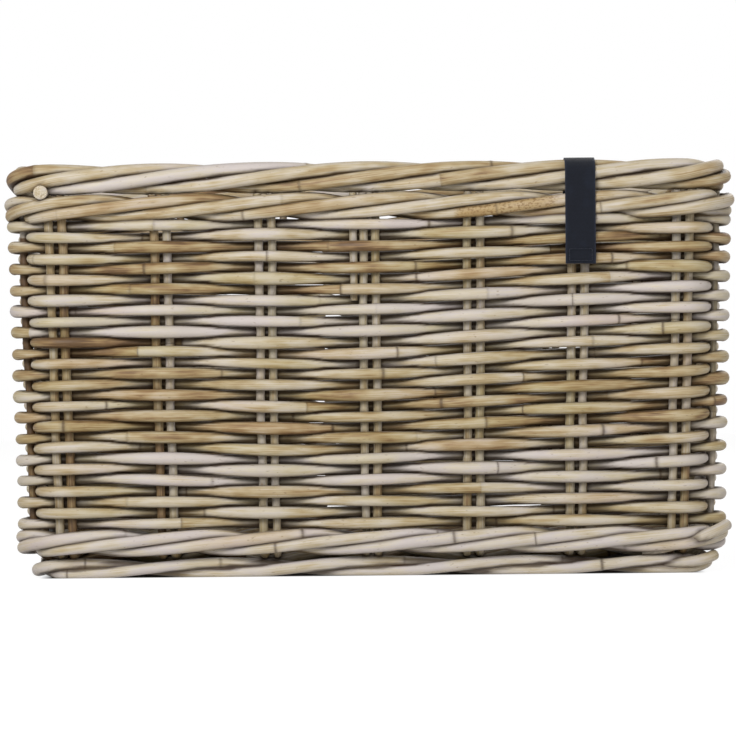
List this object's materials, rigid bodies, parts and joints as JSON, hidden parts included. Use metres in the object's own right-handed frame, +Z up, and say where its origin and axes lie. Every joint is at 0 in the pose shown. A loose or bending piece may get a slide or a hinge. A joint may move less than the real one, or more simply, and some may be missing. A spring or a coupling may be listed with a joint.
{
  "type": "bicycle basket",
  "caption": "Large rectangular rattan bicycle basket: paired stakes, alternate weave, waled top and foot, rolled rim and a small plain cloth label.",
  "frame": {"origin": "centre of the basket's plan, on the surface that its foot stands on", "axes": "+X to the right along the long side seen from the front, +Y from the front wall to the back, +Z up"},
  "size_m": [0.4804, 0.3315, 0.2701],
  "materials": {
    "rattan_stakes": "satin",
    "rattan_weavers": "satin",
    "rattan_wales": "satin",
    "rattan_rim": "satin",
    "label_cloth": "matte"
  },
  "bodies": {
    "root": {"cross_stake_1_left": "rattan_stakes", "cross_stake_1_right": "rattan_stakes", "cross_stake_2_left": "rattan_stakes", "cross_stake_2_right": "rattan_stakes", "cross_stake_3_left": "rattan_stakes", "cross_stake_3_right": "rattan_stakes", "cross_stake_4_left": "rattan_stakes", "cross_stake_4_right": "rattan_stakes", "cross_stake_5_left": "rattan_stakes", "cross_stake_5_right": "rattan_stakes", "cross_stake_6_left": "rattan_stakes", "cross_stake_6_right": "rattan_stakes", "cross_stake_7_left": "rattan_stakes", "cross_stake_7_right": "rattan_stakes", "long_stake_1_front": "rattan_stakes", "long_stake_1_back": "rattan_stakes", "long_stake_2_front": "rattan_stakes", "long_stake_2_back": "rattan_stakes", "long_stake_3_front": "rattan_stakes", "long_stake_3_back": "rattan_stakes", "long_stake_4_front": "rattan_stakes", "long_stake_4_back": "rattan_stakes", "long_stake_5_front": "rattan_stakes", "long_stake_5_back": "rattan_stakes", "by_stake": "rattan_stakes", "base_weaver_1": "rattan_weavers", "base_weaver_2": "rattan_weavers", "base_weaver_3": "rattan_weavers", "base_weaver_4": "rattan_weavers", "weaver_01": "rattan_weavers", "weaver_02": "rattan_weavers", "weaver_03": "rattan_weavers", "weaver_04": "rattan_weavers", "weaver_05": "rattan_weavers", "weaver_06": "rattan_weavers", "weaver_07": "rattan_weavers", "weaver_08": "rattan_weavers", "weaver_09": "rattan_weavers", "weaver_10": "rattan_weavers", "weaver_11": "rattan_weavers", "weaver_12": "rattan_weavers", "weaver_13": "rattan_weavers", "weaver_14": "rattan_weavers", "weaver_15": "rattan_weavers", "foot_strand_1": "rattan_wales", "foot_strand_2": "rattan_wales", "upset_wale_1": "rattan_wales", "upset_wale_2": "rattan_wales", "upset_wale_3": "rattan_wales", "top_wale_1": "rattan_wales", "top_wale_2": "rattan_wales", "top_wale_3": "rattan_wales", "rim_strand_1": "rattan_rim", "rim_strand_2": "rattan_rim", "rim_strand_3": "rattan_rim", "rim_strand_4": "rattan_rim", "rim_label": "label_cloth"}
  },
  "joints": []
}
